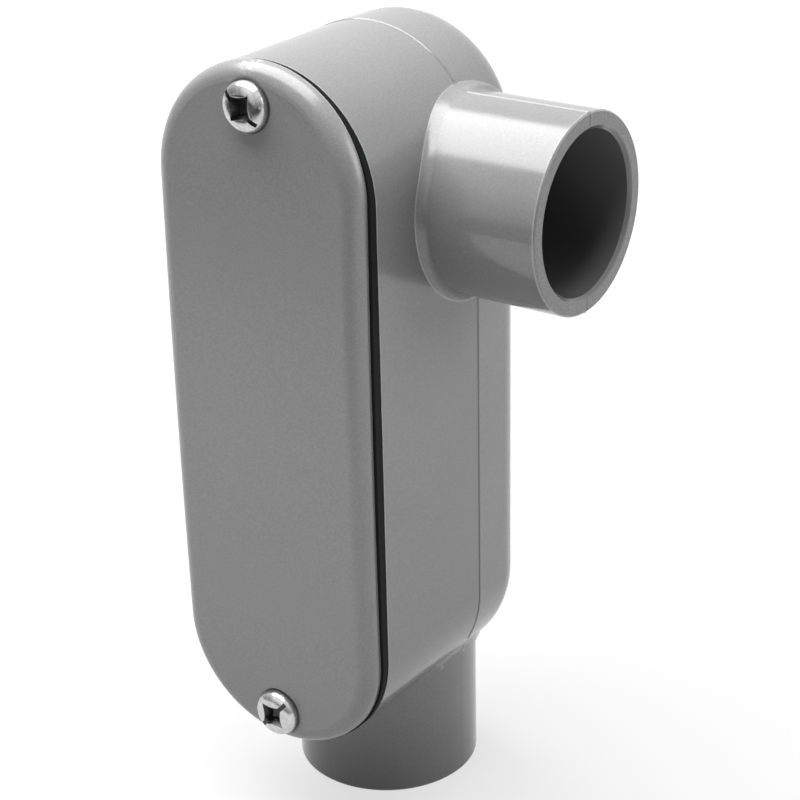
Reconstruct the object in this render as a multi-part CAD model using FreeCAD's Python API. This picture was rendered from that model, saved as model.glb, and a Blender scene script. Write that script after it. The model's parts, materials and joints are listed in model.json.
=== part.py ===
import FreeCAD, Part
import math
import os

# Conduit body with a side outlet, for 3/4 inch rigid PVC conduit.
# A deep moulded box with round ends is open at the front. One conduit socket leaves its lower end,
# another leaves its right side near the top, and a screwed cover on a gasket closes the front.
# Frame: origin at the centre of the lower socket's mouth, +Z up along the box, +X out of the side socket,
# -Y out of the cover. The parting line of the moulding and both socket axes lie in the plane y = 0.
# All sizes are in millimetres.

V = FreeCAD.Vector
AXIS_X = V(1, 0, 0)
AXIS_Y = V(0, 1, 0)
AXIS_Z = V(0, 0, 1)

# Box
BODY_WIDTH = 41.2              # across the side walls, at the parting line
BODY_LENGTH = 120.6            # over both round ends, at the parting line
RIM_DEPTH = 27.8               # from the parting line forward to the rim that carries the gasket
BACK_BEHIND_HUBS = 0.3         # the flat back stands out this little behind the hubs
WALL = 2.9
FRONT_DRAFT = 0.15             # each wall leans in by this much from the parting line to the rim
BACK_DRAFT = 1.05              # each side wall leans in by this much from the parting line to the back
BACK_END_DRAFT = 0.1           # the round ends lean in by less
CORE_DRAFT = 1.0               # the chamber leans in by this much all round from the parting line to its back
BACK_ROUNDING = 7.8            # outside; inside it is less by the wall

# Conduit sockets, called hubs
HUB_DIAMETER = 33.0
SOCKET_DIAMETER = 27.03        # half way down the socket, for conduit of 26.67 mm
SOCKET_DEPTH = 18.3
THROAT_DIAMETER = 20.9         # the bore of the conduit
MOUTH_CHAMFER = 0.6            # inner edge of the mouth, to guide the conduit in
MOUTH_BREAK = 0.3              # outer edge of the mouth
ROOT_CHAMFER = 1.3             # where a hub meets the box
LOWER_HUB_LENGTH = 17.7        # below the end of the box
SIDE_HUB_LENGTH = 20.7         # out from the side wall
SIDE_HUB_BELOW_TOP = 25.9      # from the top of the box down to the side hub's axis

# Raised line that the two mould halves leave
FLASH_WIDTH = 0.5              # of the ridge, where it leaves the wall
FLASH_HEIGHT = 0.15
FLASH_ROOT = 1.0               # how deep its slopes start inside the wall
FLASH_END_GAP = 0.3            # it stops this far from the root of a hub

# Cover
COVER_SIDE_SETBACK = 0.85      # inside the box's width on each side
COVER_END_SETBACK = 0.15       # inside the box's length at each end
COVER_SHIFT = 0.2              # towards the top, in the play of its screws
COVER_THICKNESS = 3.2
COVER_EDGE_ROUNDING = 2.8

# Gasket, squeezed thin at the screws and thicker half way between them
GASKET_AT_SCREWS = 1.1
GASKET_AT_MIDDLE = 1.7
GASKET_SETBACK = 0.1           # from the edge of the rim
GASKET_OVERHANG = 0.4          # past the inside of the wall

# Cover screws, no. 8 pan head
SCREW_FROM_END = 6.4           # from the end of the box to the screw's axis
SCREW_DIAMETER = 4.1
SCREW_LENGTH = 15.9            # under the head
SCREW_TIP_CHAMFER = 0.8
HEAD_DIAMETER = 8.2
HEAD_HEIGHT = 2.5
HEAD_RIM_HEIGHT = 0.8          # straight part of the head
HEAD_CORNER = 1.2              # rounding between the straight part and the dome
SLOT_WIDTH = 1.3
SLOT_DEPTH = 0.9
CROSS_SPAN = 4.8
CROSS_WIDTH = 1.5
CROSS_FOOT_SPAN = 1.9
CROSS_FOOT_WIDTH = 0.8
CROSS_DEPTH = 1.7
SLOT_ANGLE = {"top": 45.0, "bottom": -48.0}   # the slot's right-hand end, below the horizontal

# Clearances and bosses of the cover screws
SEAT_CLEARANCE = 0.3           # round the head in its shallow seat
COVER_HOLE_CLEARANCE = 0.4     # round the screw in the cover and the gasket
PILOT_CLEARANCE = 0.05         # round the screw in its boss
TIP_CLEARANCE = 0.8            # from the screw's tip to the floor of its hole
BOSS_RADIUS = 5.0
BOSS_FLOOR = 1.8               # behind the hole

# Places that follow
HUB_RADIUS = HUB_DIAMETER / 2
BACK_DEPTH = HUB_RADIUS + BACK_BEHIND_HUBS
BODY_CENTRE_Z = LOWER_HUB_LENGTH + BODY_LENGTH / 2
BODY_TOP_Z = LOWER_HUB_LENGTH + BODY_LENGTH
SIDE_HUB_Z = BODY_TOP_Z - SIDE_HUB_BELOW_TOP
SIDE_MOUTH_X = BODY_WIDTH / 2 + SIDE_HUB_LENGTH
MARGIN = 10.0                  # how far a cutting tool runs past the material
RIM_Y = -RIM_DEPTH
COVER_WIDTH = BODY_WIDTH - 2 * COVER_SIDE_SETBACK
COVER_LENGTH = BODY_LENGTH - 2 * COVER_END_SETBACK
SCREW_OFFSET = BODY_LENGTH / 2 - SCREW_FROM_END
SCREW_Z = {"top": BODY_CENTRE_Z + SCREW_OFFSET, "bottom": BODY_CENTRE_Z - SCREW_OFFSET}
END_DIRECTION = {"top": 1, "bottom": -1}
BOW = GASKET_AT_MIDDLE - GASKET_AT_SCREWS
BOW_RADIUS = (SCREW_OFFSET ** 2 + BOW ** 2) / (2 * BOW)
BOW_AXIS_Y = RIM_Y - GASKET_AT_MIDDLE + BOW_RADIUS
COVER_FRONT_Y = RIM_Y - GASKET_AT_MIDDLE - COVER_THICKNESS
SEAT_RADIUS = HEAD_DIAMETER / 2 + SEAT_CLEARANCE


def cover_front_at(height):
    """Depth of the bowed cover's front face at a height above or below its middle."""
    outer = BOW_RADIUS + COVER_THICKNESS
    return BOW_AXIS_Y - math.sqrt(outer ** 2 - height ** 2)


SEAT_Y = cover_front_at(SCREW_OFFSET + SEAT_RADIUS)
TIP_Y = SEAT_Y + SCREW_LENGTH
PILOT_FLOOR_Y = TIP_Y + TIP_CLEARANCE
BOSS_BACK_Y = PILOT_FLOOR_Y + BOSS_FLOOR


def obround(width, length, y, shift=0):
    """Outline of two straight sides and two half circles, in a plane of constant depth."""
    half = width / 2
    top = BODY_CENTRE_Z + shift + length / 2 - half
    bottom = BODY_CENTRE_Z + shift - length / 2 + half
    sides_and_ends = [
        Part.LineSegment(V(half, y, bottom), V(half, y, top)),
        Part.Arc(V(half, y, top), V(0, y, top + half), V(-half, y, top)),
        Part.LineSegment(V(-half, y, top), V(-half, y, bottom)),
        Part.Arc(V(-half, y, bottom), V(0, y, bottom - half), V(half, y, bottom)),
    ]
    return Part.Wire([edge.toShape() for edge in sides_and_ends])


def obround_prism(width, length, y_start, y_end, shift=0):
    """Obround plate or bar between two depths."""
    face = Part.Face(obround(width, length, y_start, shift))
    return face.extrude(V(0, y_end - y_start, 0))


def box_between(low, high):
    """Rectangular block between two opposite corners."""
    return Part.makeBox(high.x - low.x, high.y - low.y, high.z - low.z, low)


def edges_in_plane(shape, axis, place):
    """Edges that lie wholly at one place along the axis "X", "Y" or "Z"."""
    found = []
    for edge in shape.Edges:
        low = getattr(edge.BoundBox, axis + "Min")
        high = getattr(edge.BoundBox, axis + "Max")
        if abs(low - place) < 1e-4 and abs(high - place) < 1e-4:
            found.append(edge)
    return found


def drafted_box(inset, back_y, side_draft, end_draft, rounding):
    """The box's outside, or its chamber when inset by the wall, with a rounded back edge."""
    front = inset + FRONT_DRAFT
    rim = obround(BODY_WIDTH - 2 * front, BODY_LENGTH - 2 * front, RIM_Y)
    parting = obround(BODY_WIDTH - 2 * inset, BODY_LENGTH - 2 * inset, 0)
    back_width = BODY_WIDTH - 2 * (inset + side_draft)
    back_length = BODY_LENGTH - 2 * (inset + end_draft)
    back = obround(back_width, back_length, back_y)
    front_half = Part.makeLoft([rim, parting], True, True)
    back_half = Part.makeLoft([parting, back], True, True)
    back_half = back_half.makeFillet(rounding, edges_in_plane(back_half, "Y", back_y))
    return front_half.fuse(back_half)


def lower_bar(radius, start, end):
    """Round bar on the lower hub's axis, between two heights. Its seam faces the front."""
    bar = Part.makeCylinder(radius, end - start, V(0, 0, start), AXIS_Z)
    bar.rotate(V(0, 0, 0), AXIS_Z, -90)
    return bar


def side_bar(radius, start, end):
    """Round bar on the side hub's axis, from one distance out to another. Its seam faces the front."""
    bar = Part.makeCylinder(radius, end - start, V(start, 0, SIDE_HUB_Z), AXIS_X)
    bar.rotate(V(0, 0, SIDE_HUB_Z), AXIS_X, 90)
    return bar


def hub_root_edges(shape):
    """The curves where the two hubs leave the outside of the box."""
    found = []
    for edge in shape.Edges:
        points = edge.discretize(9)
        on_lower = all(abs(math.hypot(p.x, p.y) - HUB_RADIUS) < 1e-3 for p in points)
        on_side = all(abs(math.hypot(p.y, p.z - SIDE_HUB_Z) - HUB_RADIUS) < 1e-3 for p in points)
        along_hub = isinstance(edge.Curve, Part.Line)
        at_mouth = all(p.z < 1e-3 for p in points) or all(p.x > SIDE_MOUTH_X - 1e-3 for p in points)
        if (on_lower or on_side) and not along_hub and not at_mouth:
            found.append(edge)
    return found


def make_outside():
    """Box and both hubs as one form with softened roots, still solid."""
    outside = drafted_box(0, BACK_DEPTH, BACK_DRAFT, BACK_END_DRAFT, BACK_ROUNDING)
    lower_hub = lower_bar(HUB_RADIUS, 0, BODY_CENTRE_Z)
    side_hub = side_bar(HUB_RADIUS, 0, SIDE_MOUTH_X)
    outside = outside.fuse([lower_hub, side_hub])
    outside = outside.makeChamfer(ROOT_CHAMFER, hub_root_edges(outside))
    outside = outside.makeChamfer(MOUTH_BREAK, edges_in_plane(outside, "Z", 0))
    return outside.makeChamfer(MOUTH_BREAK, edges_in_plane(outside, "X", SIDE_MOUTH_X))


def side_hub_flash(side):
    """Straight ridge of flash on the top (side 1) or the bottom (side -1) of the side hub."""
    half = FLASH_WIDTH / 2
    deep_half = half * (1 + FLASH_ROOT / FLASH_HEIGHT)
    half_body = BODY_WIDTH / 2
    # the round end of the box leaves the top of the hub further in than its straight side leaves the bottom
    above_straight = max(SIDE_HUB_Z + HUB_RADIUS - (BODY_TOP_Z - half_body), 0)
    root = math.sqrt(half_body ** 2 - above_straight ** 2) if side > 0 else half_body
    start = root + ROOT_CHAMFER + FLASH_END_GAP
    base_z = SIDE_HUB_Z + side * (HUB_RADIUS - FLASH_ROOT)
    ridge_z = SIDE_HUB_Z + side * (HUB_RADIUS + FLASH_HEIGHT)
    corners = [V(start, -deep_half, base_z), V(start, 0, ridge_z), V(start, deep_half, base_z)]
    section = Part.Face(Part.makePolygon(corners + corners[:1]))
    return section.extrude(V(SIDE_MOUTH_X - MOUTH_BREAK - start, 0, 0))


def make_flash():
    """Low ridge in the parting plane, round the box and along the side hub. It is trimmed off the lower hub."""
    deep_y = FLASH_WIDTH / 2 * (1 + FLASH_ROOT / FLASH_HEIGHT)
    ridge = obround(BODY_WIDTH + 2 * FLASH_HEIGHT, BODY_LENGTH + 2 * FLASH_HEIGHT, 0)
    halves = []
    for y in (-deep_y, deep_y):
        base = obround(BODY_WIDTH - 2 * FLASH_ROOT, BODY_LENGTH - 2 * FLASH_ROOT, y)
        halves.append(Part.makeLoft([base, ridge], True, True))
    clear_lower = lower_bar(HUB_RADIUS + ROOT_CHAMFER + FLASH_END_GAP, 0, BODY_CENTRE_Z)
    clear_side = side_bar(HUB_RADIUS + ROOT_CHAMFER + FLASH_END_GAP, 0, SIDE_MOUTH_X)
    ring = halves[0].fuse(halves[1]).cut([clear_lower, clear_side])
    return ring.Solids + [side_hub_flash(1), side_hub_flash(-1)]


def boss_block(end, front_y, back_y):
    """Boss round a cover screw: a round pillar that runs into the end wall."""
    centre_z = SCREW_Z[end]
    wall_z = centre_z + END_DIRECTION[end] * SCREW_FROM_END
    pillar = Part.makeCylinder(BOSS_RADIUS, back_y - front_y, V(0, front_y, centre_z), AXIS_Y)
    web = box_between(
        V(-BOSS_RADIUS, front_y, min(centre_z, wall_z)), V(BOSS_RADIUS, back_y, max(centre_z, wall_z))
    )
    return pillar.fuse(web)


def screw_hole(end, clearance, front_y, back_y, shift=0):
    """Round hole on a cover screw's axis, or beside it in the shifted cover."""
    radius = SCREW_DIAMETER / 2 + clearance
    return Part.makeCylinder(radius, back_y - front_y, V(0, front_y, SCREW_Z[end] + shift), AXIS_Y)


def make_chamber():
    """The space inside the box, with both screw bosses left standing."""
    chamber = drafted_box(WALL, BACK_DEPTH - WALL, CORE_DRAFT, CORE_DRAFT, BACK_ROUNDING - WALL)
    inner_front = WALL + FRONT_DRAFT
    mouth = obround_prism(
        BODY_WIDTH - 2 * inner_front, BODY_LENGTH - 2 * inner_front, RIM_Y - MARGIN, RIM_Y
    )
    bosses = [boss_block(end, RIM_Y, BOSS_BACK_Y) for end in SCREW_Z]
    return chamber.cut(bosses).fuse(mouth)


def mouth_chamfers():
    """Cones that break the inner edge of both socket mouths."""
    small = SOCKET_DIAMETER / 2
    large = small + MOUTH_CHAMFER
    lower = Part.makeCone(large, small, MOUTH_CHAMFER, V(0, 0, 0), AXIS_Z)
    side = Part.makeCone(large, small, MOUTH_CHAMFER, V(SIDE_MOUTH_X, 0, SIDE_HUB_Z), V(-1, 0, 0))
    return [lower, side]


def make_body():
    """The moulded shell."""
    chamber_side = BODY_WIDTH / 2 - WALL
    cuts = [
        make_chamber(),
        lower_bar(SOCKET_DIAMETER / 2, 0, SOCKET_DEPTH),
        lower_bar(THROAT_DIAMETER / 2, 0, LOWER_HUB_LENGTH + WALL + MARGIN),
        side_bar(SOCKET_DIAMETER / 2, SIDE_MOUTH_X - SOCKET_DEPTH, SIDE_MOUTH_X),
        side_bar(THROAT_DIAMETER / 2, chamber_side - MARGIN, SIDE_MOUTH_X),
    ]
    cuts += mouth_chamfers()
    cuts += [screw_hole(end, PILOT_CLEARANCE, RIM_Y, PILOT_FLOOR_Y) for end in SCREW_Z]
    return make_outside().fuse(make_flash()).cut(cuts)


def bow_cylinder(radius):
    """Large round bar across the box whose front is the bow of the cover."""
    start = V(-BODY_WIDTH, BOW_AXIS_Y, BODY_CENTRE_Z)
    return Part.makeCylinder(radius, 2 * BODY_WIDTH, start, AXIS_X)


def make_cover():
    """Cover plate, bowed a little forward between its screws, with a rolled front edge."""
    outer_radius = BOW_RADIUS + COVER_THICKNESS
    plate = obround_prism(COVER_WIDTH, COVER_LENGTH, COVER_FRONT_Y - MARGIN, RIM_Y, COVER_SHIFT)
    plate = plate.common(bow_cylinder(outer_radius)).cut(bow_cylinder(BOW_RADIUS))
    front_edges = []
    for edge in plate.Edges:
        points = edge.discretize(5)
        distances = [math.hypot(p.y - BOW_AXIS_Y, p.z - BODY_CENTRE_Z) for p in points]
        if all(abs(distance - outer_radius) < 1e-3 for distance in distances):
            front_edges.append(edge)
    plate = plate.makeFillet(COVER_EDGE_ROUNDING, front_edges)
    cuts = []
    for end in SCREW_Z:
        cuts.append(screw_hole(end, COVER_HOLE_CLEARANCE, COVER_FRONT_Y, RIM_Y, COVER_SHIFT))
        seat_start = V(0, SEAT_Y - MARGIN, SCREW_Z[end])
        cuts.append(Part.makeCylinder(SEAT_RADIUS, MARGIN, seat_start, AXIS_Y))
    return plate.cut(cuts)


def make_gasket():
    """Flat ring on the rim, widened round the screws, pressed to the back of the cover."""
    front_y = RIM_Y - GASKET_AT_MIDDLE - MARGIN
    outer_inset = FRONT_DRAFT + GASKET_SETBACK
    inner_inset = FRONT_DRAFT + WALL + GASKET_OVERHANG
    outer = obround_prism(BODY_WIDTH - 2 * outer_inset, BODY_LENGTH - 2 * outer_inset, front_y, RIM_Y)
    inner = obround_prism(BODY_WIDTH - 2 * inner_inset, BODY_LENGTH - 2 * inner_inset, front_y, RIM_Y)
    pads = [boss_block(end, front_y, RIM_Y) for end in SCREW_Z]
    holes = [screw_hole(end, COVER_HOLE_CLEARANCE, front_y, RIM_Y) for end in SCREW_Z]
    ring = outer.cut(inner.cut(pads)).cut(holes)
    return ring.common(bow_cylinder(BOW_RADIUS))


def head_profile():
    """Half section of a pan head and its shank, turned about the screw's axis."""
    radius = HEAD_DIAMETER / 2
    corner_y = SEAT_Y - HEAD_RIM_HEIGHT
    dome_edge = V(radius - HEAD_CORNER, corner_y - HEAD_CORNER, 0)
    top = V(0, SEAT_Y - HEAD_HEIGHT, 0)
    rise = dome_edge.y - top.y
    dome_radius = (dome_edge.x ** 2 + rise ** 2) / (2 * rise)
    half_way = dome_edge.x / 2
    dome_mid = V(half_way, top.y + dome_radius - math.sqrt(dome_radius ** 2 - half_way ** 2), 0)
    diagonal = HEAD_CORNER * math.sqrt(0.5)
    corner_mid = V(dome_edge.x + diagonal, corner_y - diagonal, 0)
    shank = SCREW_DIAMETER / 2
    outline = [
        Part.Arc(top, dome_mid, dome_edge),
        Part.Arc(dome_edge, corner_mid, V(radius, corner_y, 0)),
        Part.LineSegment(V(radius, corner_y, 0), V(radius, SEAT_Y, 0)),
        Part.LineSegment(V(radius, SEAT_Y, 0), V(shank, SEAT_Y, 0)),
        Part.LineSegment(V(shank, SEAT_Y, 0), V(shank, TIP_Y - SCREW_TIP_CHAMFER, 0)),
        Part.LineSegment(V(shank, TIP_Y - SCREW_TIP_CHAMFER, 0), V(shank - SCREW_TIP_CHAMFER, TIP_Y, 0)),
        Part.LineSegment(V(shank - SCREW_TIP_CHAMFER, TIP_Y, 0), V(0, TIP_Y, 0)),
        Part.LineSegment(V(0, TIP_Y, 0), top),
    ]
    return Part.Face(Part.Wire([edge.toShape() for edge in outline]))


def tapered_arm(turned):
    """One arm pair of the cross recess, narrower at its foot."""
    top_y = SEAT_Y - HEAD_HEIGHT
    wires = []
    for span, width, y in (
        (CROSS_SPAN, CROSS_WIDTH, top_y),
        (CROSS_FOOT_SPAN, CROSS_FOOT_WIDTH, top_y + CROSS_DEPTH),
    ):
        x, z = (width / 2, span / 2) if turned else (span / 2, width / 2)
        corners = [V(-x, y, -z), V(x, y, -z), V(x, y, z), V(-x, y, z), V(-x, y, -z)]
        wires.append(Part.makePolygon(corners))
    return Part.makeLoft(wires, True, True)


def make_screw(end):
    """Pan head cover screw; the thread is left plain."""
    blank = head_profile().revolve(V(0, 0, 0), AXIS_Y, 360)
    half_slot = SLOT_WIDTH / 2
    top_y = SEAT_Y - HEAD_HEIGHT
    slot = box_between(
        V(-HEAD_DIAMETER, top_y - MARGIN, -half_slot), V(HEAD_DIAMETER, top_y + SLOT_DEPTH, half_slot)
    )
    screw = blank.cut([slot, tapered_arm(False), tapered_arm(True)])
    screw.rotate(V(0, 0, 0), AXIS_Y, SLOT_ANGLE[end])
    screw.translate(V(0, 0, SCREW_Z[end]))
    return screw


def save(shape, name):
    """Write one piece as its single clean solid."""
    solid = shape.removeSplitter().Solids[0]
    solid.exportStep(os.path.join("parts", name + ".step"))


os.makedirs("parts", exist_ok=True)
save(make_body(), "body")
save(make_cover(), "cover")
save(make_gasket(), "gasket")
for screw_end in SCREW_Z:
    save(make_screw(screw_end), "cover_screw_" + screw_end)
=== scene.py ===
# %% [markdown]
# # A grey conduit body with a side outlet
# An electrician joins two runs of plastic conduit with this box. A screwed cover on a rubber gasket closes
# it. The lengths and places come from a finished CAD model, which is loaded first and stays as it is. This
# notebook gives the pieces their finish, adds the smallest details, and sets up the camera and the light.

# %% Load the CAD model
import json
import math
import bmesh
import bpy
from mathutils import Matrix, Vector

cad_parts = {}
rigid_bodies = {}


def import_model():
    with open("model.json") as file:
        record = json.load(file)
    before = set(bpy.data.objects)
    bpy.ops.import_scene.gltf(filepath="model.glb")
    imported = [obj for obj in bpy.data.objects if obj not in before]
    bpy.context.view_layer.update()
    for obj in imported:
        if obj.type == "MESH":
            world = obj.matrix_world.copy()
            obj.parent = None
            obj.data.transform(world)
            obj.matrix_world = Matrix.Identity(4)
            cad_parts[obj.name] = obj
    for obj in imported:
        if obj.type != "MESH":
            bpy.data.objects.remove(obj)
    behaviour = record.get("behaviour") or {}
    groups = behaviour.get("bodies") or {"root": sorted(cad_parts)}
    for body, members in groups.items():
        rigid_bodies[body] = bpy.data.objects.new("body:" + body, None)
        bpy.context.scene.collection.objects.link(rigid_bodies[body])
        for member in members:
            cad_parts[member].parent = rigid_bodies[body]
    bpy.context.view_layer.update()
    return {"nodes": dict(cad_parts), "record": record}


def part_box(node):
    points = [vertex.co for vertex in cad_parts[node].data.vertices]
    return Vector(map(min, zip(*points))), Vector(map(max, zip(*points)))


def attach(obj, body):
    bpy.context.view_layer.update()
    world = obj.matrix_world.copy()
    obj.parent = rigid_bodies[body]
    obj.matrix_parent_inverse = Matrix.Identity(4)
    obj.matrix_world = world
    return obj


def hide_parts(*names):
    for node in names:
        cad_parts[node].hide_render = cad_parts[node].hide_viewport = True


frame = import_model()
nodes = frame["nodes"]
MM = 0.001
mounts = {mount["name"]: mount["pos_m"] for mount in frame["record"]["mounts"]}
LOWER_CENTRE = Vector((0, 0, 0))
SIDE_CENTRE = Vector((0, 0, mounts["side_socket"][2]))
print("pieces of the CAD model:", sorted(nodes))

# %% [markdown]
# ## The camera
# A camera could be aimed by trial, but the picture has a known angle: 35 degrees round to the right and 24
# degrees above the front of the box, with a long lens. Three directions at right angles describe that
# exactly, so the camera's matrix is built from them, and a small roll tilts the picture as in the
# photograph.

# %% Place the camera
AZIMUTH = math.radians(35.24)
ELEVATION = math.radians(24.16)
ROLL = math.radians(-1.34)
DISTANCE = 357.18 * MM
TARGET = Vector((4.34, 0.0, 71.80)) * MM
LENS = 92.32
SENSOR = 36.0
CLIP_START = 10 * MM

toward_camera = Vector((
    math.sin(AZIMUTH) * math.cos(ELEVATION),
    -math.cos(AZIMUTH) * math.cos(ELEVATION),
    math.sin(ELEVATION),
))
level_right = Vector((math.cos(AZIMUTH), math.sin(AZIMUTH), 0.0))
level_up = toward_camera.cross(level_right)
right = math.cos(ROLL) * level_right + math.sin(ROLL) * level_up
up = math.cos(ROLL) * level_up - math.sin(ROLL) * level_right

camera_data = bpy.data.cameras.new("camera")
camera_data.lens = LENS
camera_data.sensor_width = SENSOR
camera_data.clip_start = CLIP_START
camera = bpy.data.objects.new("camera", camera_data)
bpy.context.scene.collection.objects.link(camera)
turn = Matrix((right, up, toward_camera)).transposed().to_4x4()
camera.matrix_world = Matrix.Translation(TARGET + toward_camera * DISTANCE) @ turn
bpy.context.scene.camera = camera
print("camera stands at", [round(c, 3) for c in camera.matrix_world.translation])

# %% [markdown]
# ## Tools for materials
# Every material here is a small network of nodes, and most of them need the same few steps: a value that
# rises between two limits, two values multiplied, two colours mixed, soft noise. Each network could be
# wired node by node, but short functions for these steps keep the wiring readable. Patterns read Object
# coordinates, so they stay fixed to the piece however it is seen.

# %% Helpers for materials
def new_material(name):
    """An empty node material with its output and one Principled shader."""
    material = bpy.data.materials.new(name)
    material.use_nodes = True
    material.node_tree.nodes.clear()
    tree = material.node_tree
    output = tree.nodes.new("ShaderNodeOutputMaterial")
    shader = tree.nodes.new("ShaderNodeBsdfPrincipled")
    tree.links.new(shader.outputs["BSDF"], output.inputs["Surface"])
    return material, tree, shader


def add_node(tree, kind, settings=None, **inputs):
    """A node of one kind, with its settings and its unlinked inputs."""
    node = tree.nodes.new(kind)
    for name, value in (settings or {}).items():
        setattr(node, name, value)
    for name, value in inputs.items():
        node.inputs[name.replace("_", " ")].default_value = value
    return node


def grey(value):
    """A neutral colour, from a grey as a screen shows it, 0 to 255."""
    level = value / 255
    linear = level / 12.92 if level <= 0.04045 else ((level + 0.055) / 1.055) ** 2.4
    return (linear, linear, linear, 1.0)


MID_GREY = 128
print("mid grey is", [round(c, 3) for c in grey(MID_GREY)])

# %% Helpers for patterns
def mask(tree, value, start, end, low=0.0, high=1.0):
    """A number that goes from low to high as a value goes from start to end."""
    ramp = add_node(tree, "ShaderNodeMapRange", From_Min=start, From_Max=end, To_Min=low, To_Max=high)
    tree.links.new(value, ramp.inputs["Value"])
    return ramp.outputs["Result"]


def product(tree, first, second):
    """Two numbers multiplied; the second may be a plain number."""
    times = add_node(tree, "ShaderNodeMath", {"operation": "MULTIPLY"})
    tree.links.new(first, times.inputs[0])
    if isinstance(second, float):
        times.inputs[1].default_value = second
    else:
        tree.links.new(second, times.inputs[1])
    return times.outputs[0]


def blended(tree, factor, first, second):
    """A colour between two others, each a plain colour or a node's output."""
    mix = add_node(tree, "ShaderNodeMix", {"data_type": "RGBA"})
    tree.links.new(factor, mix.inputs["Factor"])
    for name, colour in (("A", first), ("B", second)):
        if isinstance(colour, tuple):
            mix.inputs[name].default_value = colour
        else:
            tree.links.new(colour, mix.inputs[name])
    return mix.outputs["Result"]


def noise(tree, place, scale, detail):
    """Soft noise that is fixed to the piece."""
    texture = add_node(tree, "ShaderNodeTexNoise", Scale=scale, Detail=detail)
    tree.links.new(place.outputs["Object"], texture.inputs["Vector"])
    return texture.outputs["Fac"]


def axes_of(tree, vector):
    """The X, Y and Z outputs of a place or a direction."""
    parts = add_node(tree, "ShaderNodeSeparateXYZ")
    tree.links.new(vector, parts.inputs[0])
    return parts.outputs


def away_from(tree, place, centre, flatten):
    """Distance from a centre, measured after each axis is scaled."""
    offset = add_node(tree, "ShaderNodeVectorMath", {"operation": "SUBTRACT"})
    offset.inputs[1].default_value = centre
    tree.links.new(place.outputs["Object"], offset.inputs[0])
    scaled = add_node(tree, "ShaderNodeVectorMath", {"operation": "MULTIPLY"})
    scaled.inputs[1].default_value = flatten
    tree.links.new(offset.outputs["Vector"], scaled.inputs[0])
    length = add_node(tree, "ShaderNodeVectorMath", {"operation": "LENGTH"})
    tree.links.new(scaled.outputs["Vector"], length.inputs[0])
    return length.outputs["Value"]


def seen_rays(tree):
    """1 for what the camera, a mirror or clear glass sees, 0 for light that spreads between surfaces."""
    rays = add_node(tree, "ShaderNodeLightPath")
    total = rays.outputs["Is Camera Ray"]
    for kind in ("Is Glossy Ray", "Is Transmission Ray"):
        either = add_node(tree, "ShaderNodeMath", {"operation": "MAXIMUM"})
        tree.links.new(total, either.inputs[0])
        tree.links.new(rays.outputs[kind], either.inputs[1])
        total = either.outputs[0]
    return total


def add_bump(tree, shader, heights, strength, distance):
    """Let a pattern of heights tilt the surface a little."""
    bump = add_node(tree, "ShaderNodeBump", Strength=strength, Distance=distance)
    tree.links.new(heights, bump.inputs["Height"])
    tree.links.new(bump.outputs["Normal"], shader.inputs["Normal"])


print("ready to wire materials")

# %% [markdown]
# ## The floor
# The object stands on pale paper. A plain white floor could throw its light back up, but then the underside
# of the lower socket would be bright, and in the photograph it is dark. So the paper looks white to the
# camera by a little light of its own, which is weaker close by, where the object's shadow shows. For the
# light that spreads from surface to surface its colour is painted dark near the object, as painted shade,
# and pale further out.

# %% Lay the floor
FLOOR_SIZE = 4.0
NEAR, FAR = 0.12, 0.55                 # distances from the object between which the paper's own light grows
GLOW_NEAR, GLOW_FAR = 0.66, 1.0
DARK_WITHIN, PALE_FROM = 0.03, 0.13    # distances between which the paper's colour for spread light grows
# the paper's colour for spread light is painted dark near the object, as painted shade
DARK, PALE = 0.05, 0.72
PAPER_GREY = 138                       # what camera and mirrors see of the paper, apart from its own light
PAPER_ROUGHNESS = 0.9
bpy.ops.object.select_all(action="DESELECT")
bpy.ops.mesh.primitive_plane_add(size=FLOOR_SIZE, location=(0, 0, 0))
floor = bpy.context.object
floor.name = "floor"
floor_material, tree, shader = new_material("floor_paper")
seen = seen_rays(tree)
place = add_node(tree, "ShaderNodeTexCoord")
distance = away_from(tree, place, (0, 0, 0), (1, 1, 1))
# painted shade: near the object the paper sends up little light
spread_colour = mask(tree, distance, DARK_WITHIN, PALE_FROM, DARK, PALE)
tree.links.new(blended(tree, seen, spread_colour, grey(PAPER_GREY)), shader.inputs["Base Color"])
glow = product(tree, mask(tree, distance, NEAR, FAR, GLOW_NEAR, GLOW_FAR), seen)
shader.inputs["Emission Color"].default_value = (1, 1, 1, 1)
tree.links.new(glow, shader.inputs["Emission Strength"])
shader.inputs["Roughness"].default_value = PAPER_ROUGHNESS
floor.data.materials.append(floor_material)
print("floor is", FLOOR_SIZE, "m wide")

# %% [markdown]
# ## The surroundings and the lamps
# The picture is white all round. White surroundings could light the whole object, but it would look flat.
# So they look white and light the room very little, and three soft panels do the work: a large one
# overhead, a weak one in front, and one at the right. Glossy plastic mirrors the edge of the overhead
# panel, and that gives the long highlight on the side socket. A studio is dark behind the camera, so the
# surroundings are dimmer for mirrored rays that leave low towards the front.

# %% Set the white surroundings
ROOM_LIGHT = 0.02
BACKDROP_LIGHT = 1.0
FRONT_FROM, FRONT_TO = 0.3, -0.3       # Y of a direction, between the sides and the front
LOW_FROM, LOW_TO = 0.65, 0.0           # Z of a direction, between high up and level
DIMMEST = 0.75                         # share of the white that mirrors miss, low in front
world = bpy.data.worlds.new("studio")
bpy.context.scene.world = world
world.use_nodes = True
tree = world.node_tree
tree.nodes.clear()
output = tree.nodes.new("ShaderNodeOutputWorld")
room = add_node(tree, "ShaderNodeBackground", Color=(1, 1, 1, 1), Strength=ROOM_LIGHT)
backdrop = add_node(tree, "ShaderNodeBackground", Color=(1, 1, 1, 1), Strength=BACKDROP_LIGHT)
direction = axes_of(tree, add_node(tree, "ShaderNodeTexCoord").outputs["Generated"])
in_front = mask(tree, direction["Y"], FRONT_FROM, FRONT_TO)
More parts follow.
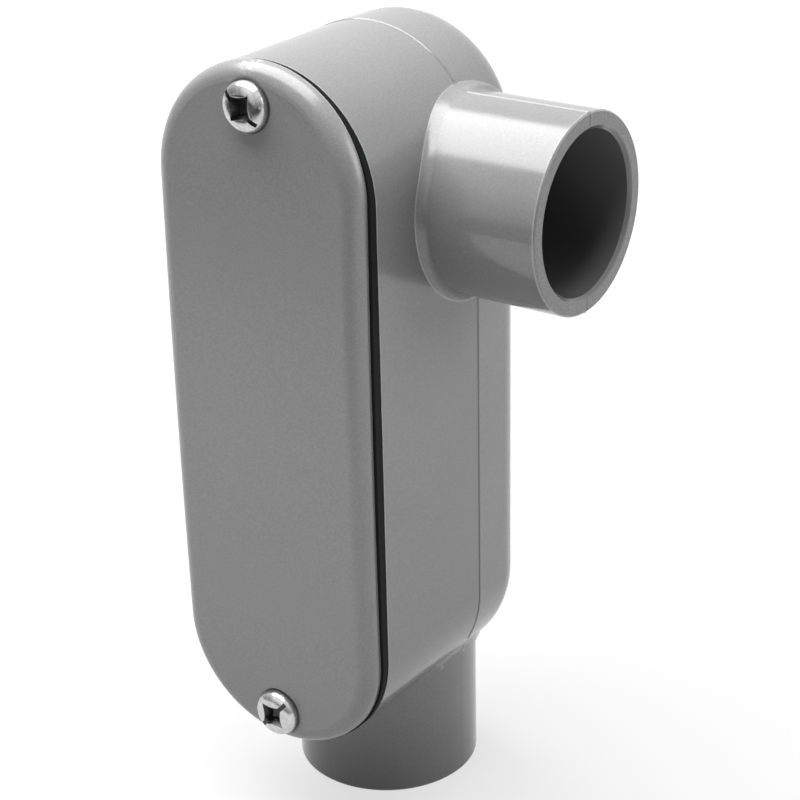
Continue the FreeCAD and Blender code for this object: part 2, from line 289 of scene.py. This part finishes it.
low_down = mask(tree, direction["Z"], LOW_FROM, LOW_TO, high=DIMMEST)
glossy = add_node(tree, "ShaderNodeLightPath").outputs["Is Glossy Ray"]
missing = product(tree, product(tree, in_front, low_down), glossy)
tree.links.new(mask(tree, missing, 0.0, 1.0, low=BACKDROP_LIGHT, high=0.0), backdrop.inputs["Strength"])
mix = tree.nodes.new("ShaderNodeMixShader")
tree.links.new(seen_rays(tree), mix.inputs[0])
tree.links.new(room.outputs[0], mix.inputs[1])
tree.links.new(backdrop.outputs[0], mix.inputs[2])
tree.links.new(mix.outputs[0], output.inputs["Surface"])
print("world lights the room at", ROOM_LIGHT)

# %% Hang the light panels
def light_panel(name, place, aim, width, height, power):
    """A soft rectangular lamp at one place, turned to face another."""
    data = bpy.data.lights.new(name, "AREA")
    data.shape = "RECTANGLE"
    data.size = width
    data.size_y = height
    data.energy = power
    lamp = bpy.data.objects.new(name, data)
    bpy.context.scene.collection.objects.link(lamp)
    lamp.location = place
    lamp.rotation_euler = (Vector(aim) - Vector(place)).to_track_quat("-Z", "Y").to_euler()


MIDDLE = (0.0, 0.0, 0.078)
ABOVE_LEFT = (-0.15, -0.031, 0.55)
BELOW_LEFT = (-0.15, -0.031, 0.0)
FRONT_PLACE = (-0.2, -1.0, 0.45)
RIGHT_PLACE = (0.78, 0.36, 0.37)
light_panel("overhead_panel", ABOVE_LEFT, BELOW_LEFT, width=0.6, height=0.508, power=5.8)
light_panel("front_panel", FRONT_PLACE, MIDDLE, width=0.8, height=0.8, power=0.9)
light_panel("right_panel", RIGHT_PLACE, MIDDLE, width=0.5, height=0.5, power=2.5)

# %% [markdown]
# ## The black cloth
# Bright metal shows only what it mirrors, and in an all-white room a screw would be white. Photographers
# put something dark where the camera doesn't see it. Here a black cloth lies on the floor in front of the
# object. Only mirrors see it, and its near edge fades in, as a reflection out of focus does.

# %% Roll out the black cloth
CLOTH_WIDTH = 1.6
CLOTH_LENGTH = 1.4
CLOTH_EDGE_Y = -0.19                   # where it starts, in front of the object
CLOTH_FADE = 0.13                      # over this length it goes from clear to black
CLOTH_LIFT = 0.5 * MM
CLOTH_GREY = 80
bpy.ops.object.select_all(action="DESELECT")
bpy.ops.mesh.primitive_plane_add(size=1, location=(0, 0, 0))
cloth = bpy.context.object
cloth.name = "black_cloth"
bpy.ops.object.mode_set(mode="EDIT")
bpy.ops.transform.resize(value=(CLOTH_WIDTH, CLOTH_LENGTH, 1), center_override=(0, 0, 0))
bpy.ops.transform.translate(value=(0, CLOTH_EDGE_Y - CLOTH_LENGTH / 2, CLOTH_LIFT))
bpy.ops.object.mode_set(mode="OBJECT")
cloth.visible_camera = False
cloth.visible_diffuse = False
cloth.visible_shadow = False
black_cloth, tree, shader = new_material("black_cloth")
shader.inputs["Base Color"].default_value = grey(CLOTH_GREY)
shader.inputs["Roughness"].default_value = 1.0
shader.inputs["Specular IOR Level"].default_value = 0.0
spot = axes_of(tree, add_node(tree, "ShaderNodeTexCoord").outputs["Object"])
faded_in = mask(tree, spot["Y"], CLOTH_EDGE_Y, CLOTH_EDGE_Y - CLOTH_FADE)
tree.links.new(faded_in, shader.inputs["Alpha"])
cloth.data.materials.append(black_cloth)
print("cloth starts", -CLOTH_EDGE_Y, "m in front of the object")

# %% [markdown]
# ## The plastics
# Both mouldings are grey PVC. Real PVC is never one flat colour: it has a faint cloudiness from the way it
# flowed into the mould, fine pale specks, and a spark-eroded grain that breaks up its gloss. Noise at three
# sizes gives them. Handling rubs the sharp edges paler, and they are painted paler still as a painted
# highlight along each edge. Their places could be painted, but a rounded normal that differs from the real
# one finds them by itself, wherever an edge is sharp.

# %% Make the moulded plastics
CLOUD_SCALE, GRAIN_SCALE, SPECK_SCALE = 45.0, 1400.0, 3200.0    # waves in a metre
CLOUD_DETAIL, GRAIN_DETAIL, SPECK_DETAIL = 3.0, 2.0, 1.0
CLOUD_GREY = 4                         # clouds are this much darker or lighter than the plastic
SPECK_GREY = 60                        # specks are this much lighter, where they would be solid
SPECK_START, SPECK_END = 0.35, 0.65
SPECK_SHARE = 0.12
EDGE_WIDTH = 0.35 * MM
EDGE_START, EDGE_END = 0.995, 0.93     # likeness of the rounded normal and the real one
EDGE_SAMPLES = 4
# the edges' lighter grey is partly wear and partly painted highlight
EDGE_HIGHLIGHT_SHARE = 0.8                       # how far worn edges go towards their lighter grey
EDGE_HIGHLIGHT_GREY = 225
GLOSS_SPREAD = 0.05
GRAIN_STRENGTH = 0.3
PVC_IOR = 1.54
PVC_SPECULAR = 0.65


def sharp_edges(tree, width):
    """1 on the piece's sharp edges, where a rounded normal differs from the real one, and 0 elsewhere."""
    rounding = add_node(tree, "ShaderNodeBevel", {"samples": EDGE_SAMPLES}, Radius=width)
    surface = add_node(tree, "ShaderNodeNewGeometry")
    likeness = add_node(tree, "ShaderNodeVectorMath", {"operation": "DOT_PRODUCT"})
    tree.links.new(rounding.outputs["Normal"], likeness.inputs[0])
    tree.links.new(surface.outputs["Normal"], likeness.inputs[1])
    return mask(tree, likeness.outputs["Value"], EDGE_START, EDGE_END)


def moulded_plastic(name, colour, roughness, grain_height):
    """Grey PVC with a cloudy colour, a fine moulded grain, and edges painted paler as wear and painted
    highlight.
    """
    material, tree, shader = new_material(name)
    place = add_node(tree, "ShaderNodeTexCoord")
    clouds = noise(tree, place, CLOUD_SCALE, CLOUD_DETAIL)
    grain = noise(tree, place, GRAIN_SCALE, GRAIN_DETAIL)
    cloudy = blended(tree, clouds, grey(colour - CLOUD_GREY), grey(colour + CLOUD_GREY))
    specks = mask(tree, noise(tree, place, SPECK_SCALE, SPECK_DETAIL), SPECK_START, SPECK_END)
    plain = blended(tree, product(tree, specks, SPECK_SHARE), cloudy, grey(colour + SPECK_GREY))
    # sharp edges painted paler: partly wear, partly painted highlight
    worn_and_highlit = product(tree, sharp_edges(tree, EDGE_WIDTH), EDGE_HIGHLIGHT_SHARE)
    finished = blended(tree, worn_and_highlit, plain, grey(EDGE_HIGHLIGHT_GREY))
    tree.links.new(finished, shader.inputs["Base Color"])
    gloss = mask(tree, clouds, 0.0, 1.0, roughness - GLOSS_SPREAD, roughness + GLOSS_SPREAD)
    tree.links.new(gloss, shader.inputs["Roughness"])
    shader.inputs["IOR"].default_value = PVC_IOR
    shader.inputs["Specular IOR Level"].default_value = PVC_SPECULAR
    add_bump(tree, shader, grain, GRAIN_STRENGTH, grain_height)
    return material, tree, shader, place, finished


BODY_GREY = 134
COVER_GREY = 141
body_made = moulded_plastic("body_plastic", BODY_GREY, roughness=0.17, grain_height=0.03 * MM)
cover_made = moulded_plastic("cover_plastic", COVER_GREY, roughness=0.25, grain_height=0.04 * MM)
print("plastics:", body_made[0].name, cover_made[0].name)

# %% [markdown]
# ## The body's colours and painted shade
# Four places on the body differ from its plain grey. The parting flash is a sharp ridge but gets no paler
# edge, neither wear nor painted highlight, so it goes back to plain grey. The inside of the side socket is
# painted a little darker, as painted shade. The socket's mouth was sawn off, so its ring is speckled, with a
# dark tick where the mould's parting line crosses it. The foot of the lower socket is painted darker towards
# the bottom, as painted shade. Each could be a piece or a material of its own, but they are one moulding, so
# masks in one material do it.

# %% Colour the flash and the sawn mouth, and paint shade into the bore and the foot
body_plastic, tree, shader, place, finished = body_made
MOUTH_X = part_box("body")[1][0]
FLASH_REGION = (0.6 * MM, 0.4 * MM)    # distances from the parting plane, plain grey from the second on
TICK_REGION = (0.22 * MM, 0.1 * MM)
TICK_SHARE, TICK_GREY = 0.7, 50
BORE_EDGE = (14.2 * MM, 13.9 * MM)     # distances from the socket's axis
BORE_START = (15 * MM, 16 * MM)        # distances from the lower socket's axis
# the bore is painted darker, as painted shade
BORE_SHADE_SHARE, BORE_SHADE_GREY = 0.9, 112
SAWN_DEPTHS = (0.08 * MM, 0.04 * MM)
SPECKLE_SCALE, SPECKLE_DETAIL = 2600.0, 2.0
SAWN_DARK, SAWN_LIGHT = 96, 140
# the foot of the lower socket is painted darker towards the bottom, as painted shade
FOOT_SHADE_HEIGHT = 16 * MM
FOOT_SHADE_SHARE, FOOT_SHADE_GREY = 0.3, 60

spot = axes_of(tree, place.outputs["Object"])
beside_parting = add_node(tree, "ShaderNodeMath", {"operation": "ABSOLUTE"})
tree.links.new(spot["Y"], beside_parting.inputs[0])
# the flash is kept free of the paler edges, both wear and painted highlight
on_flash = mask(tree, beside_parting.outputs[0], *FLASH_REGION)
finished = blended(tree, on_flash, finished, grey(BODY_GREY))
# painted shade inside the side socket
in_bore = mask(tree, away_from(tree, place, SIDE_CENTRE, (0, 1, 1)), *BORE_EDGE)
in_bore = product(tree, in_bore, mask(tree, spot["X"], *BORE_START))
finished = blended(tree, product(tree, in_bore, BORE_SHADE_SHARE), finished, grey(BORE_SHADE_GREY))
sawn = mask(tree, spot["X"], MOUTH_X - SAWN_DEPTHS[0], MOUTH_X - SAWN_DEPTHS[1])
speckle = noise(tree, place, SPECKLE_SCALE, SPECKLE_DETAIL)
finished = blended(tree, sawn, finished, blended(tree, speckle, grey(SAWN_DARK), grey(SAWN_LIGHT)))
# painted shade, darker towards the bottom of the lower socket
foot_shade = product(tree, mask(tree, spot["Z"], FOOT_SHADE_HEIGHT, 0.0), FOOT_SHADE_SHARE)
finished = blended(tree, foot_shade, finished, grey(FOOT_SHADE_GREY))
tick = product(tree, sawn, mask(tree, beside_parting.outputs[0], *TICK_REGION))
finished = blended(tree, product(tree, tick, TICK_SHARE), finished, grey(TICK_GREY))
tree.links.new(finished, shader.inputs["Base Color"])
print("sawn mouth at", round(MOUTH_X, 4))

# %% [markdown]
# ## The marks on the cover
# Plastic entered the cover's mould at the top edge, and breaking it off there left a small torn mark. Round
# each screw head the plastic is painted dark, as painted shade under the rim. Both are flat, so they are
# masks in the cover's material: a ragged one from noise for the gate, and a soft ring of painted shade for
# each seat.

# %% Mark the cover's gate and paint shade round its screw seats
cover_plastic, tree, shader, place, finished = cover_made
GATE_CENTRE = (-0.0004, -0.0304, 0.1382)
GATE_SIZE = 2.3 * MM
GATE_SHAPE = (1, 0.9, 1)
GATE_SOLID = 0.5                       # share of its size within which the mark is at its strongest
GATE_GREY = 190
SHRED_SCALE, SHRED_DETAIL = 1500.0, 3.0
SHRED_START, SHRED_END = 0.47, 0.55
SEAT_SHADE = (4.7 * MM, 4.05 * MM)     # radii between which the dark ring round a screw head fades in
# strength and grey of the painted shade round each screw head
SEAT_SHADE_SHARE, SEAT_SHADE_GREY = 0.95, 25

from_gate = away_from(tree, place, GATE_CENTRE, GATE_SHAPE)
near_gate = mask(tree, from_gate, GATE_SIZE, GATE_SOLID * GATE_SIZE)
shreds = mask(tree, noise(tree, place, SHRED_SCALE, SHRED_DETAIL), SHRED_START, SHRED_END)
finished = blended(tree, product(tree, near_gate, shreds), finished, grey(GATE_GREY))
for node in ("cover_screw_top", "cover_screw_bottom"):
    low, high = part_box(node)
    seat_centre = (0.0, low[1], (low[2] + high[2]) / 2)
    # a ring of painted shade round each screw head
    ring = mask(tree, away_from(tree, place, seat_centre, (1, 0, 1)), *SEAT_SHADE)
    finished = blended(tree, product(tree, ring, SEAT_SHADE_SHARE), finished, grey(SEAT_SHADE_GREY))
tree.links.new(finished, shader.inputs["Base Color"])
print("gate mark at", GATE_CENTRE)

# %% [markdown]
# ## The rubber and the steel
# The gasket is dull black sheet rubber. It is seen only in the narrow gap under the cover, and round the
# two ends, where the gap is tightest, it is painted darkest, as painted shade. The screws are steel with a
# bright zinc coat, polished by the tumbling barrel, so their gloss is uneven. Inside the recess the steel is
# painted dark, as painted shade.

# %% Make the gasket rubber
PORE_SCALE, PORE_DETAIL = 900.0, 4.0
PORE_DARK, PORE_LIGHT = 16, 30
PORE_STRENGTH = 0.4
PORE_DEPTH = 0.05 * MM
# the gasket's two ends are painted darker, as painted shade
END_SHADE_GREY = 6
END_REACH = 10 * MM                    # over this length the rubber goes darker past the straight sides
RUBBER_ROUGHNESS = 0.75
RUBBER_SPECULAR = 0.15

gasket_rubber, tree, shader = new_material("gasket_rubber")
place = add_node(tree, "ShaderNodeTexCoord")
pores = noise(tree, place, PORE_SCALE, PORE_DETAIL)
dull = blended(tree, pores, grey(PORE_DARK), grey(PORE_LIGHT))
low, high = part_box("gasket")
gasket_centre = (0.0, 0.0, (low[2] + high[2]) / 2)
half_straight = (high[2] - low[2] - high[0] + low[0]) / 2
along = away_from(tree, place, gasket_centre, (0, 0, 1))
# painted shade towards the gasket's two ends
toward_ends = mask(tree, along, half_straight, half_straight + END_REACH)
tree.links.new(blended(tree, toward_ends, dull, grey(END_SHADE_GREY)), shader.inputs["Base Color"])
shader.inputs["Roughness"].default_value = RUBBER_ROUGHNESS
shader.inputs["Specular IOR Level"].default_value = RUBBER_SPECULAR
add_bump(tree, shader, pores, PORE_STRENGTH, PORE_DEPTH)
print("rubber:", gasket_rubber.name)

# %% Make the plated steel
WEAR_SCALE, WEAR_DETAIL = 1200.0, 3.0
SHINE_SPREAD = 0.08


def plated(name, dull, bright, roughness):
    """Zinc plated steel, whose shine wanders between dull and bright patches."""
    material, tree, shader = new_material(name)
    place = add_node(tree, "ShaderNodeTexCoord")
    wear = noise(tree, place, WEAR_SCALE, WEAR_DETAIL)
    tree.links.new(blended(tree, wear, grey(dull), grey(bright)), shader.inputs["Base Color"])
    shader.inputs["Metallic"].default_value = 1.0
    gloss = mask(tree, wear, 0.0, 1.0, roughness - SHINE_SPREAD, roughness + SHINE_SPREAD)
    tree.links.new(gloss, shader.inputs["Roughness"])
    return material


plated_steel = plated("plated_steel", dull=165, bright=225, roughness=0.22)
# painted shade: the steel inside the recess is painted dark
shaded_recess_steel = plated("shaded_recess_steel", dull=30, bright=95, roughness=0.35)
print("steel:", plated_steel.name, shaded_recess_steel.name)

# %% Dress the CAD pieces
def dress(piece, material):
    """Give a piece one material all over."""
    piece.data.materials.clear()
    piece.data.materials.append(material)


dress(nodes["cover"], cover_plastic)
dress(nodes["gasket"], gasket_rubber)
print("dressed:", nodes["cover"].name, nodes["gasket"].name)

# %% [markdown]
# ## The body's blended roots
# Each socket grows out of the box with a small rounded blend. The CAD model has a flat chamfer there, which
# shades as a hard ring. A blend could be modelled with a bevel, but the chamfer already has the right size,
# so a copy of the body keeps the CAD's own surface normals and only turns those on the chamfer: at the
# socket's wall they stand nearly straight out from its axis, as on a rounding, and they lean over towards
# the box. The parting flash on the side socket was scraped down, so its normals turn most of the way back
# too.

# %% Copy the body
SEAM = 0.001 * MM                      # the CAD's loose triangles are joined where they meet this closely
kept_normals = [Vector(corner.vector) for corner in nodes["body"].data.corner_normals]
bpy.ops.object.select_all(action="DESELECT")
body = nodes["body"].copy()
body.data = nodes["body"].data.copy()
body.name = "moulded_body"
bpy.context.scene.collection.objects.link(body)
body.select_set(True)
bpy.context.view_layer.objects.active = body
bpy.ops.object.mode_set(mode="EDIT")
bpy.ops.mesh.select_all(action="SELECT")
bpy.ops.mesh.remove_doubles(threshold=SEAM)
bpy.ops.object.mode_set(mode="OBJECT")
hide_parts("body")
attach(body, "root")
dress(body, body_plastic)
print("body:", len(body.data.polygons), "faces", len(body.data.vertices), "points")

# %% Round the roots
HUB_RADIUS = 16.5 * MM
ROOT_WIDTH = 1.3 * MM                  # legs of the chamfer
ROOT_LEAST = 0.3 * MM                  # more than the parting flash stands out
ROOT_SPREAD = 2.6 * MM                 # the widest the chamfer gets where the box curves away
ON_WALL = 0.02 * MM                    # a point this close to the socket's wall lies on it
NEAR_WALL = 0.1 * MM                   # a face of the chamfer starts this close to the wall
OUTWARD_LEAST = 0.3                    # a chamfer faces outwards at least this much
ALONG_LEAST = 0.05                     # and along the socket at least this much
LEAN_AT_SOCKET = 0.25                  # share of the chamfer's own slope that is left at the socket's wall
SIDE_LEAN, LOWER_LEAN = 1.0, 0.3       # the same at the box


def radial_offset(point, axis, centre):
    """The way from a socket's axis straight out to a point."""
    offset = point - centre
    return offset - axis * offset.dot(axis)


def on_chamfer(corners, slope, axis, centre):
    """Whether a face slopes between socket and box, and starts at the socket's wall."""
    reaches = [radial_offset(corner, axis, centre).length - HUB_RADIUS for corner in corners]
    outward = radial_offset(sum(corners, Vector()) / len(corners), axis, centre).normalized()
    close = -ON_WALL < min(reaches) < NEAR_WALL and ROOT_LEAST < max(reaches) < ROOT_SPREAD
    return close and OUTWARD_LEAST < slope.dot(outward) and ALONG_LEAST < slope.dot(axis)


def round_root(mesh, axis, centre, lean_at_box):
    """Lean the chamfer's normals from straight out at the socket towards its own slope at the box."""
    rounded = 0
    for face in mesh.polygons:
        corners = [mesh.vertices[index].co for index in face.vertices]
        if not on_chamfer(corners, face.normal, axis, centre):
            continue
        for index, corner in zip(face.loop_indices, corners):
            outward = radial_offset(corner, axis, centre)
            share = min(max((outward.length - HUB_RADIUS) / ROOT_WIDTH, 0.0), 1.0)
            lean = LEAN_AT_SOCKET + (lean_at_box - LEAN_AT_SOCKET) * share
            kept_normals[index] = outward.normalized().lerp(face.normal, lean).normalized()
        rounded += 1
    return rounded


SIDE_AXIS = Vector((1, 0, 0))
LOWER_AXIS = Vector((0, 0, -1))
print("faces of the side socket's root:", round_root(body.data, SIDE_AXIS, SIDE_CENTRE, SIDE_LEAN))
print("faces of the lower socket's root:", round_root(body.data, LOWER_AXIS, LOWER_CENTRE, LOWER_LEAN))

# %% Scrape the flash
FLASH_HALF_WIDTH = 0.3 * MM
FLASH_LEFT = 0.35                      # share of the flash's slope that scraping has left on the side socket
COVER_SIDE_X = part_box("cover")[1][0]


def scrape_flash(mesh, axis, centre):
    """Turn the flash's normals on the side socket most of the way back to the socket's own."""
    scraped = 0
    for face in mesh.polygons:
        corners = [mesh.vertices[index].co for index in face.vertices]
        offsets = [radial_offset(corner, axis, centre) for corner in corners]
        on_flash = max(abs(corner.y) for corner in corners) < FLASH_HALF_WIDTH
        outside = min(offset.length for offset in offsets) > HUB_RADIUS - ON_WALL
        if on_flash and outside and min(corner.x for corner in corners) > COVER_SIDE_X:
            for index, offset in zip(face.loop_indices, offsets):
                plain = offset.normalized()
                kept_normals[index] = plain.lerp(kept_normals[index], FLASH_LEFT).normalized()
            scraped += 1
    return scraped


print("faces of scraped flash:", scrape_flash(body.data, SIDE_AXIS, SIDE_CENTRE))
body.data.normals_split_custom_set(kept_normals)

# %% [markdown]
# ## The cover screws
# Two pan head screws of plated steel hold the cover. Their driving recess is a star with hollow sides, and
# a slot runs across it from rim to rim. A plain dome with a painted star would be quicker, but seen up
# close a screw head is all edges, so it is modelled in full: a short cylinder is extruded and drawn in ring
# by ring to a shallow dome with a rounded shoulder, the recess and the slot are cut out as they are punched
# into the real head, and a fine bevel leaves the bright lines of worn edges.

# %% Helpers for modelling
def choose(piece, kind, test):
    """In edit mode, select only the vertices or faces that pass a test."""
    bpy.ops.mesh.select_mode(type=kind)
    bpy.ops.mesh.select_all(action="DESELECT")
    mesh = bmesh.from_edit_mesh(piece.data)
    for item in {"VERT": mesh.verts, "FACE": mesh.faces}[kind]:
        if test(item):
            item.select_set(True)
    bmesh.update_edit_mesh(piece.data)


def apply_modifier(piece, kind, **settings):
    """Add one modifier and make its result the piece's mesh."""
    bpy.ops.object.select_all(action="DESELECT")
    piece.select_set(True)
    bpy.context.view_layer.objects.active = piece
    modifier = piece.modifiers.new(kind.lower(), kind)
    for name, value in settings.items():
        setattr(modifier, name, value)
    bpy.ops.object.modifier_apply(modifier=modifier.name)


def extrude_to(height, from_height, ratio):
    """In edit mode, extrude the selected face straight up or down and scale it about the Z axis."""
    bpy.ops.mesh.extrude_region_move(TRANSFORM_OT_translate={"value": (0, 0, height - from_height)})
    bpy.ops.transform.resize(value=(ratio, ratio, 1), center_override=(0, 0, 0))


print("ready to model")

# %% Turn the head and the shank
seat_corner, far_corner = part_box("cover_screw_top")
HEAD_SIDES = 96
HEAD_RADIUS = (far_corner[0] - seat_corner[0]) / 2
HEAD_HEIGHT = 2.5 * MM
HEAD_RINGS = (                         # radius and height of each ring, in millimetres
    (4.04, 1.2),
    (3.86, 1.55),
    (3.58, 1.84),
    (3.2, 2.08),
    (2.4, 2.29),
    (1.4, 2.44),
)
RIM_HEIGHT = 0.85 * MM
SHANK_RADIUS = 2.05 * MM
TIP_CHAMFER = 0.8 * MM
SHANK_LENGTH = far_corner[1] - seat_corner[1] - HEAD_HEIGHT
FACING = 0.9                           # a face whose normal has this much of an axis looks along it


def screw_blank():
    """A pan head screw before its recess is punched, standing on its tip, with its seat at height zero."""
    bpy.ops.object.select_all(action="DESELECT")
    bpy.ops.mesh.primitive_cylinder_add(vertices=HEAD_SIDES, radius=HEAD_RADIUS, depth=RIM_HEIGHT)
    blank = bpy.context.object
    bpy.ops.object.mode_set(mode="EDIT")
    bpy.ops.transform.translate(value=(0, 0, RIM_HEIGHT / 2))
    choose(blank, "FACE", lambda face: face.normal.z > FACING)
    radius, height = HEAD_RADIUS, RIM_HEIGHT
    for ring_radius, ring_height in HEAD_RINGS:
        extrude_to(ring_height * MM, height, ring_radius * MM / radius)
        radius, height = ring_radius * MM, ring_height * MM
    bpy.ops.mesh.merge(type="CENTER")
    bpy.ops.transform.translate(value=(0, 0, HEAD_HEIGHT - height))
    choose(blank, "FACE", lambda face: face.normal.z < -FACING)
    bpy.ops.mesh.inset(thickness=HEAD_RADIUS - SHANK_RADIUS)
    extrude_to(TIP_CHAMFER - SHANK_LENGTH, 0, 1)
    extrude_to(-SHANK_LENGTH, TIP_CHAMFER - SHANK_LENGTH, 1 - TIP_CHAMFER / SHANK_RADIUS)
    bpy.ops.object.mode_set(mode="OBJECT")
    blank.data.materials.append(plated_steel)
    blank.data.materials.append(shaded_recess_steel)
    return blank


pattern = screw_blank()
print("screw blank:", len(pattern.data.polygons), "faces")

# %% Punch the recess
STAR_CORNER = 2.95 * MM                # from the middle to each corner of the star
STAR_POINTS = 8                        # four corners and four hollows
STAR_HOLLOW = 0.56                     # how far in its sides reach, as a share of that
STAR_ROUNDING = 0.35 * STAR_CORNER
ROUNDING_STEPS = 5
STAR_DEPTH = 1.9 * MM
STAR_FOOT = 0.62                       # size of its foot against its mouth
SLOT_LENGTH = 3 * HEAD_RADIUS
SLOT_WIDTH = 0.75 * MM
SLOT_DEPTH = 0.8 * MM
ABOVE = 1.0 * MM                       # how far the cutting shapes stand above the head


def punch(blank, tool):
    """Cut one shape out of the screw, give the cut faces the steel painted dark as painted shade, and delete
    the shape.
    """
    for face in tool.data.polygons:
        face.material_index = 1
    apply_modifier(blank, "BOOLEAN", operation="DIFFERENCE", object=tool, solver="EXACT")
    bpy.data.objects.remove(tool)


def star_tool():
    """A tapered star with four corners and hollow sides."""
    top = HEAD_HEIGHT + ABOVE
    widening = 1 + (1 - STAR_FOOT) * ABOVE / STAR_DEPTH
    bpy.ops.object.select_all(action="DESELECT")
    bpy.ops.mesh.primitive_circle_add(vertices=STAR_POINTS, radius=STAR_CORNER * widening, fill_type="NGON")
    tool = bpy.context.object
    bpy.ops.object.mode_set(mode="EDIT")
    bpy.ops.transform.translate(value=(0, 0, top))
    choose(tool, "VERT", lambda vertex: min(abs(vertex.co.x), abs(vertex.co.y)) > STAR_CORNER / 3)
    bpy.ops.transform.resize(value=(STAR_HOLLOW, STAR_HOLLOW, 1), center_override=(0, 0, 0))
    bpy.ops.mesh.bevel(offset=STAR_ROUNDING, segments=ROUNDING_STEPS, affect="VERTICES")
    bpy.ops.mesh.select_all(action="SELECT")
    extrude_to(HEAD_HEIGHT - STAR_DEPTH, top, STAR_FOOT / widening)
    bpy.ops.mesh.select_all(action="SELECT")
    bpy.ops.mesh.normals_make_consistent(inside=False)
    bpy.ops.object.mode_set(mode="OBJECT")
    return tool


def slot_tool():
    """A straight saw cut from rim to rim."""
    size = (SLOT_LENGTH, SLOT_WIDTH, SLOT_DEPTH + ABOVE)
    bpy.ops.object.select_all(action="DESELECT")
    bpy.ops.mesh.primitive_cube_add(size=1)
    tool = bpy.context.object
    bpy.ops.object.mode_set(mode="EDIT")
    bpy.ops.transform.resize(value=size, center_override=(0, 0, 0))
    bpy.ops.transform.translate(value=(0, 0, HEAD_HEIGHT + (ABOVE - SLOT_DEPTH) / 2))
    bpy.ops.object.mode_set(mode="OBJECT")
    return tool


punch(pattern, star_tool())
punch(pattern, slot_tool())
print("punched screw:", len(pattern.data.polygons), "faces")

# %% Wear the edges
EDGE_WEAR = 0.08 * MM
WEAR_STEPS = 2
WEAR_ANGLE = math.radians(28)
SMOOTH_ANGLE = math.radians(24)
wear = {"width": EDGE_WEAR, "segments": WEAR_STEPS, "limit_method": "ANGLE", "angle_limit": WEAR_ANGLE}
apply_modifier(pattern, "BEVEL", **wear)
bpy.ops.object.shade_smooth_by_angle(angle=SMOOTH_ANGLE)
print("one screw:", len(pattern.data.polygons), "faces")

# %% Set both screws
SLOT_TURN = {                          # degrees from level to the slot's right end
    "cover_screw_top": -40.0,
    "cover_screw_bottom": 48.0,
}
TO_FRONT = math.radians(90)            # the pattern stands upright, and its head has to face the front


def place_screw(node):
    """Put a copy of the pattern screw where a CAD screw stands."""
    low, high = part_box(node)
    bpy.ops.object.select_all(action="DESELECT")
    screw = bpy.data.objects.new("pan_head_" + node, pattern.data.copy())
    bpy.context.scene.collection.objects.link(screw)
    screw.select_set(True)
    bpy.context.view_layer.objects.active = screw
    screw.rotation_euler = (TO_FRONT, math.radians(-SLOT_TURN[node]), 0)
    screw.location = (0, low[1] + HEAD_HEIGHT, (low[2] + high[2]) / 2)
    bpy.ops.object.transform_apply(location=True, rotation=True, scale=True)
    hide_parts(node)
    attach(screw, "root")


for node in SLOT_TURN:
    place_screw(node)
bpy.data.objects.remove(pattern)

# %% [markdown]
# ## Finish
# The view shows colours as they are written.

# %% Finish
bpy.context.scene.view_settings.view_transform = "Standard"
